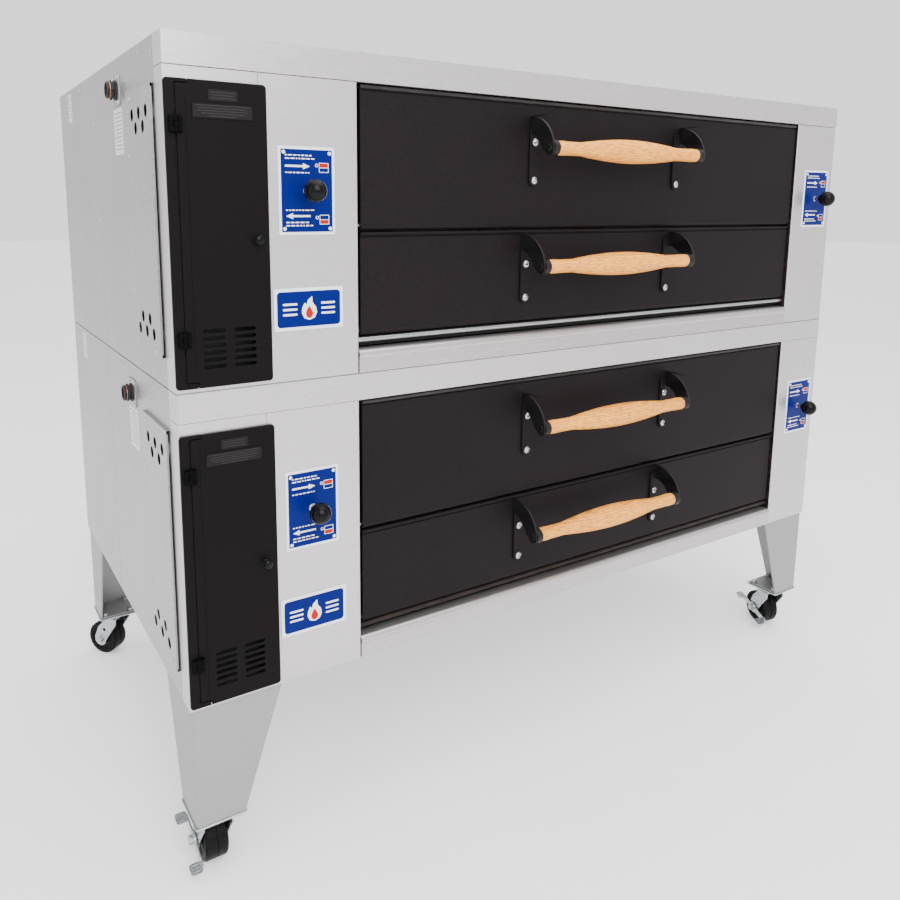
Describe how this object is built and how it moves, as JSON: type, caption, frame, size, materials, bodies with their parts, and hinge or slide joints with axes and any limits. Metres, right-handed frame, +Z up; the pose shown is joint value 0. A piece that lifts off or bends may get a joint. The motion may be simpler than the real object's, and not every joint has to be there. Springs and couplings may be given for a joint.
{
  "type": "double deck gas pizza oven",
  "caption": "Double deck gas pizza oven with black drop-down doors, wooden grips and tapered legs on casters.",
  "frame": {"origin": "middle of the whole outline, on the floor under the casters", "axes": "+X to the right along the front, +Y from the front to the back, +Z up"},
  "size_m": [2.002, 1.225, 1.664],
  "materials": {
    "front_steel": "satin",
    "side_steel": "satin",
    "casing_steel": "matte",
    "leg_paint": "satin",
    "zinc": "satin",
    "bright_steel": "polished",
    "chamber_steel": "matte",
    "hearth_stone": "matte",
    "burner_steel": "matte",
    "gas_iron": "matte",
    "mineral_wool": "matte",
    "door_enamel": "satin",
    "black_enamel": "satin",
    "black_knob": "gloss",
    "red_enamel": "satin",
    "blue_plate": "gloss",
    "grip_wood": "satin",
    "wheel_rubber": "matte"
  },
  "bodies": {
    "cabinet": {"legs": "leg_paint", "caster_plates": "zinc", "back_panels": "casing_steel", "deck_floors": "casing_steel", "deck_tops": "casing_steel", "left_panels": "side_steel", "right_panels": "side_steel", "upper_front_frame": "front_steel", "lower_front_frame": "front_steel", "upper_chamber": "chamber_steel", "lower_chamber": "chamber_steel", "hearth_stones": "hearth_stone", "burner_tubes": "burner_steel", "upper_gas_train": "gas_iron", "lower_gas_train": "gas_iron", "insulation": "mineral_wool", "vent_covers": "side_steel", "heat_plates": "blue_plate", "badges": "blue_plate", "control_hinges": "black_enamel", "gas_inlets": "gas_iron", "flue_duct": "casing_steel", "control_panels": "casing_steel", "door_pins": "bright_steel"},
    "lower_bake_door": {"lower_bake_door": "door_enamel", "lower_bake_handle": "black_enamel", "lower_bake_grip": "grip_wood"},
    "lower_burner_door": {"lower_burner_door": "door_enamel", "lower_burner_handle": "black_enamel", "lower_burner_grip": "grip_wood"},
    "lower_control_door": {"lower_control_door": "black_enamel", "lower_control_pull": "black_knob"},
    "lower_left_damper": {"lower_left_damper": "black_knob"},
    "lower_right_damper": {"lower_right_damper": "black_knob"},
    "lower_thermostat_dial": {"lower_thermostat_dial": "black_knob"},
    "lower_valve_handle": {"lower_valve_handle": "red_enamel"},
    "upper_bake_door": {"upper_bake_door": "door_enamel", "upper_bake_handle": "black_enamel", "upper_bake_grip": "grip_wood"},
    "upper_burner_door": {"upper_burner_door": "door_enamel", "upper_burner_handle": "black_enamel", "upper_burner_grip": "grip_wood"},
    "upper_control_door": {"upper_control_door": "black_enamel", "upper_control_pull": "black_knob"},
    "upper_left_damper": {"upper_left_damper": "black_knob"},
    "upper_right_damper": {"upper_right_damper": "black_knob"},
    "upper_thermostat_dial": {"upper_thermostat_dial": "black_knob"},
    "upper_valve_handle": {"upper_valve_handle": "red_enamel"},
    "front_left_fork": {"front_left_fork": "zinc"},
    "front_left_wheel": {"front_left_wheel": "wheel_rubber"},
    "front_left_brake": {"front_left_brake": "zinc"},
    "front_right_fork": {"front_right_fork": "zinc"},
    "front_right_wheel": {"front_right_wheel": "wheel_rubber"},
    "front_right_brake": {"front_right_brake": "zinc"},
    "rear_left_fork": {"rear_left_fork": "zinc"},
    "rear_left_wheel": {"rear_left_wheel": "wheel_rubber"},
    "rear_right_fork": {"rear_right_fork": "zinc"},
    "rear_right_wheel": {"rear_right_wheel": "wheel_rubber"}
  },
  "joints": [
    {"name": "lower_bake_door_hinge", "type": "hinge", "parent": "cabinet", "child": "lower_bake_door", "pos_m": [0.106, -0.5065, 0.7], "axis": [1, 0, 0], "range_deg": [0, 90]},
    {"name": "lower_burner_door_hinge", "type": "hinge", "parent": "cabinet", "child": "lower_burner_door", "pos_m": [0.106, -0.5035, 0.486], "axis": [1, 0, 0], "range_deg": [0, 90]},
    {"name": "lower_control_door_hinge", "type": "hinge", "parent": "cabinet", "child": "lower_control_door", "pos_m": [-0.961, -0.5334, 0.68], "axis": [0, 0, -1], "range_deg": [0, 120]},
    {"name": "lower_left_damper_slide", "type": "slide", "parent": "cabinet", "child": "lower_left_damper", "axis": [0, -1, 0], "range_m": [-0.012, 0.028]},
    {"name": "lower_right_damper_slide", "type": "slide", "parent": "cabinet", "child": "lower_right_damper", "axis": [0, -1, 0], "range_m": [-0.012, 0.028]},
    {"name": "lower_thermostat_dial_turn", "type": "hinge", "parent": "cabinet", "child": "lower_thermostat_dial", "pos_m": [-0.887, -0.4815, 0.8], "axis": [0, 1, 0], "range_deg": [0, 270]},
    {"name": "lower_valve_handle_turn", "type": "hinge", "parent": "cabinet", "child": "lower_valve_handle", "pos_m": [-0.887, -0.4815, 0.65], "axis": [0, 1, 0], "range_deg": [0, 90]},
    {"name": "upper_bake_door_hinge", "type": "hinge", "parent": "cabinet", "child": "upper_bake_door", "pos_m": [0.106, -0.5065, 1.332], "axis": [1, 0, 0], "range_deg": [0, 90]},
    {"name": "upper_burner_door_hinge", "type": "hinge", "parent": "cabinet", "child": "upper_burner_door", "pos_m": [0.106, -0.5035, 1.118], "axis": [1, 0, 0], "range_deg": [0, 90]},
    {"name": "upper_control_door_hinge", "type": "hinge", "parent": "cabinet", "child": "upper_control_door", "pos_m": [-0.961, -0.5334, 1.312], "axis": [0, 0, -1], "range_deg": [0, 120]},
    {"name": "upper_left_damper_slide", "type": "slide", "parent": "cabinet", "child": "upper_left_damper", "axis": [0, -1, 0], "range_m": [-0.012, 0.028]},
    {"name": "upper_right_damper_slide", "type": "slide", "parent": "cabinet", "child": "upper_right_damper", "axis": [0, -1, 0], "range_m": [-0.012, 0.028]},
    {"name": "upper_thermostat_dial_turn", "type": "hinge", "parent": "cabinet", "child": "upper_thermostat_dial", "pos_m": [-0.887, -0.4815, 1.432], "axis": [0, 1, 0], "range_deg": [0, 270]},
    {"name": "upper_valve_handle_turn", "type": "hinge", "parent": "cabinet", "child": "upper_valve_handle", "pos_m": [-0.887, -0.4815, 1.282], "axis": [0, 1, 0], "range_deg": [0, 90]},
    {"name": "front_left_swivel", "type": "hinge", "parent": "cabinet", "child": "front_left_fork", "pos_m": [-0.924, -0.4665, 0.12], "axis": [0, 0, 1], "continuous": true},
    {"name": "front_left_wheel_spin", "type": "hinge", "parent": "front_left_fork", "child": "front_left_wheel", "pos_m": [-0.924, -0.4305, 0.05], "axis": [1, 0, 0], "continuous": true},
    {"name": "front_left_brake_lever", "type": "hinge", "parent": "front_left_fork", "child": "front_left_brake", "pos_m": [-0.924, -0.4305, 0.05], "axis": [-1, 0, 0], "range_deg": [0, 34]},
    {"name": "front_right_swivel", "type": "hinge", "parent": "cabinet", "child": "front_right_fork", "pos_m": [0.946, -0.4665, 0.12], "axis": [0, 0, 1], "continuous": true},
    {"name": "front_right_wheel_spin", "type": "hinge", "parent": "front_right_fork", "child": "front_right_wheel", "pos_m": [0.95653, -0.43207, 0.05], "axis": [0.9563, -0.2924, 0], "continuous": true},
    {"name": "front_right_brake_lever", "type": "hinge", "parent": "front_right_fork", "child": "front_right_brake", "pos_m": [0.95653, -0.43207, 0.05], "axis": [-0.9563, 0.2924, 0], "range_deg": [0, 34]},
    {"name": "rear_left_swivel", "type": "hinge", "parent": "cabinet", "child": "rear_left_fork", "pos_m": [-0.924, 0.4975, 0.12], "axis": [0, 0, 1], "continuous": true},
    {"name": "rear_left_wheel_spin", "type": "hinge", "parent": "rear_left_fork", "child": "rear_left_wheel", "pos_m": [-0.94616, 0.52587, 0.05], "axis": [0.788, 0.6157, 0], "continuous": true},
    {"name": "rear_right_swivel", "type": "hinge", "parent": "cabinet", "child": "rear_right_fork", "pos_m": [0.946, 0.4975, 0.12], "axis": [0, 0, 1], "continuous": true},
    {"name": "rear_right_wheel_spin", "type": "hinge", "parent": "rear_right_fork", "child": "rear_right_wheel", "pos_m": [0.95348, 0.53271, 0.05], "axis": [0.9781, -0.2079, 0], "continuous": true}
  ]
}
